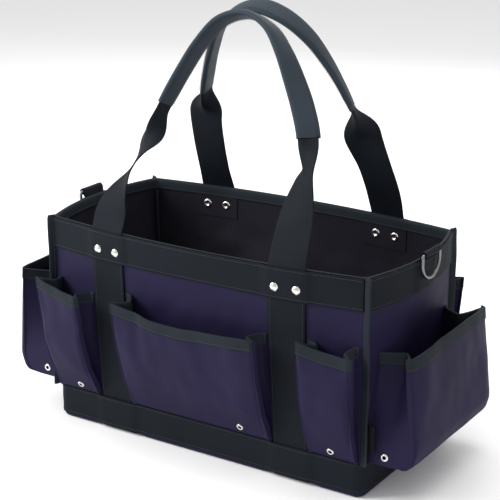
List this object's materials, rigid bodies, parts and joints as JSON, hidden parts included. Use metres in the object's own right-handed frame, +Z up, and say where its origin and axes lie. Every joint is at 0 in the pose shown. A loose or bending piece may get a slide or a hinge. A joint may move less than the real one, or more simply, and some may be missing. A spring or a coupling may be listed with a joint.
{
  "type": "garden tool bag",
  "caption": "Open-topped garden tool bag in coated navy cloth with bellows pockets on all four sides, webbing straps and bands, padded carrying handles and end D-rings.",
  "frame": {"origin": "on the floor, under the middle of the bag", "axes": "+X to the right along the long side, +Y to the back, +Z up; the front with the side label faces -Y"},
  "size_m": [0.5724, 0.3136, 0.5453],
  "materials": {
    "navy_cloth": "coated cloth with a soft sheen",
    "webbing": "woven webbing, matt",
    "lining": "coated lining cloth, matt",
    "grip_cover": "smooth sewn grip cover",
    "nickel": "polished nickel plate",
    "board": "moulded board, matt",
    "label": "blank woven label"
  },
  "bodies": {
    "bag": {"back_panel": "navy_cloth", "back_pocket_centre": "navy_cloth", "back_pocket_centre_lip": "webbing", "back_pocket_left": "navy_cloth", "back_pocket_left_lip": "webbing", "back_pocket_right": "navy_cloth", "back_pocket_right_lip": "webbing", "base_band": "webbing", "base_board": "board", "base_panel": "navy_cloth", "corner_binding_back_left": "webbing", "corner_binding_back_right": "webbing", "corner_binding_front_left": "webbing", "corner_binding_front_right": "webbing", "d_ring_loop_left": "webbing", "d_ring_loop_right": "webbing", "eyelet_back_centre": "nickel", "eyelet_back_left": "nickel", "eyelet_back_right": "nickel", "eyelet_front_centre": "nickel", "eyelet_front_left": "nickel", "eyelet_front_right": "nickel", "eyelet_left_end": "nickel", "eyelet_right_end": "nickel", "front_panel": "navy_cloth", "front_pocket_centre": "navy_cloth", "front_pocket_centre_lip": "webbing", "front_pocket_left": "navy_cloth", "front_pocket_left_lip": "webbing", "front_pocket_right": "navy_cloth", "front_pocket_right_lip": "webbing", "left_end_panel": "navy_cloth", "left_end_pocket": "navy_cloth", "left_end_pocket_lip": "webbing", "lining": "lining", "right_end_panel": "navy_cloth", "right_end_pocket": "navy_cloth", "right_end_pocket_lip": "webbing", "rim_band_back": "webbing", "rim_band_front": "webbing", "rim_band_left": "webbing", "rim_band_right": "webbing", "rim_facing": "webbing", "rivet_back_1": "nickel", "rivet_back_2": "nickel", "rivet_back_3": "nickel", "rivet_back_4": "nickel", "rivet_front_1": "nickel", "rivet_front_2": "nickel", "rivet_front_3": "nickel", "rivet_front_4": "nickel", "side_label": "label", "strap_left": "webbing", "strap_right": "webbing"},
    "front_handle": {"handle_web_front": "webbing", "grip_cover_front": "grip_cover"},
    "back_handle": {"handle_web_back": "webbing", "grip_cover_back": "grip_cover"},
    "left_d_ring": {"d_ring_left": "nickel"},
    "right_d_ring": {"d_ring_right": "nickel"}
  },
  "joints": [
    {"name": "front_handle_fold", "type": "hinge", "parent": "bag", "child": "front_handle", "pos_m": [0, -0.1263, 0.271], "axis": [1, 0, 0], "range_deg": [0, 160]},
    {"name": "back_handle_fold", "type": "hinge", "parent": "bag", "child": "back_handle", "pos_m": [0, 0.1263, 0.271], "axis": [-1, 0, 0], "range_deg": [0, 160]},
    {"name": "left_d_ring_swing", "type": "hinge", "parent": "bag", "child": "left_d_ring", "pos_m": [-0.24895, 0, 0.2775], "axis": [0, 1, 0], "range_deg": [0, 150]},
    {"name": "right_d_ring_swing", "type": "hinge", "parent": "bag", "child": "right_d_ring", "pos_m": [0.24895, 0, 0.2775], "axis": [0, -1, 0], "range_deg": [0, 150]}
  ]
}
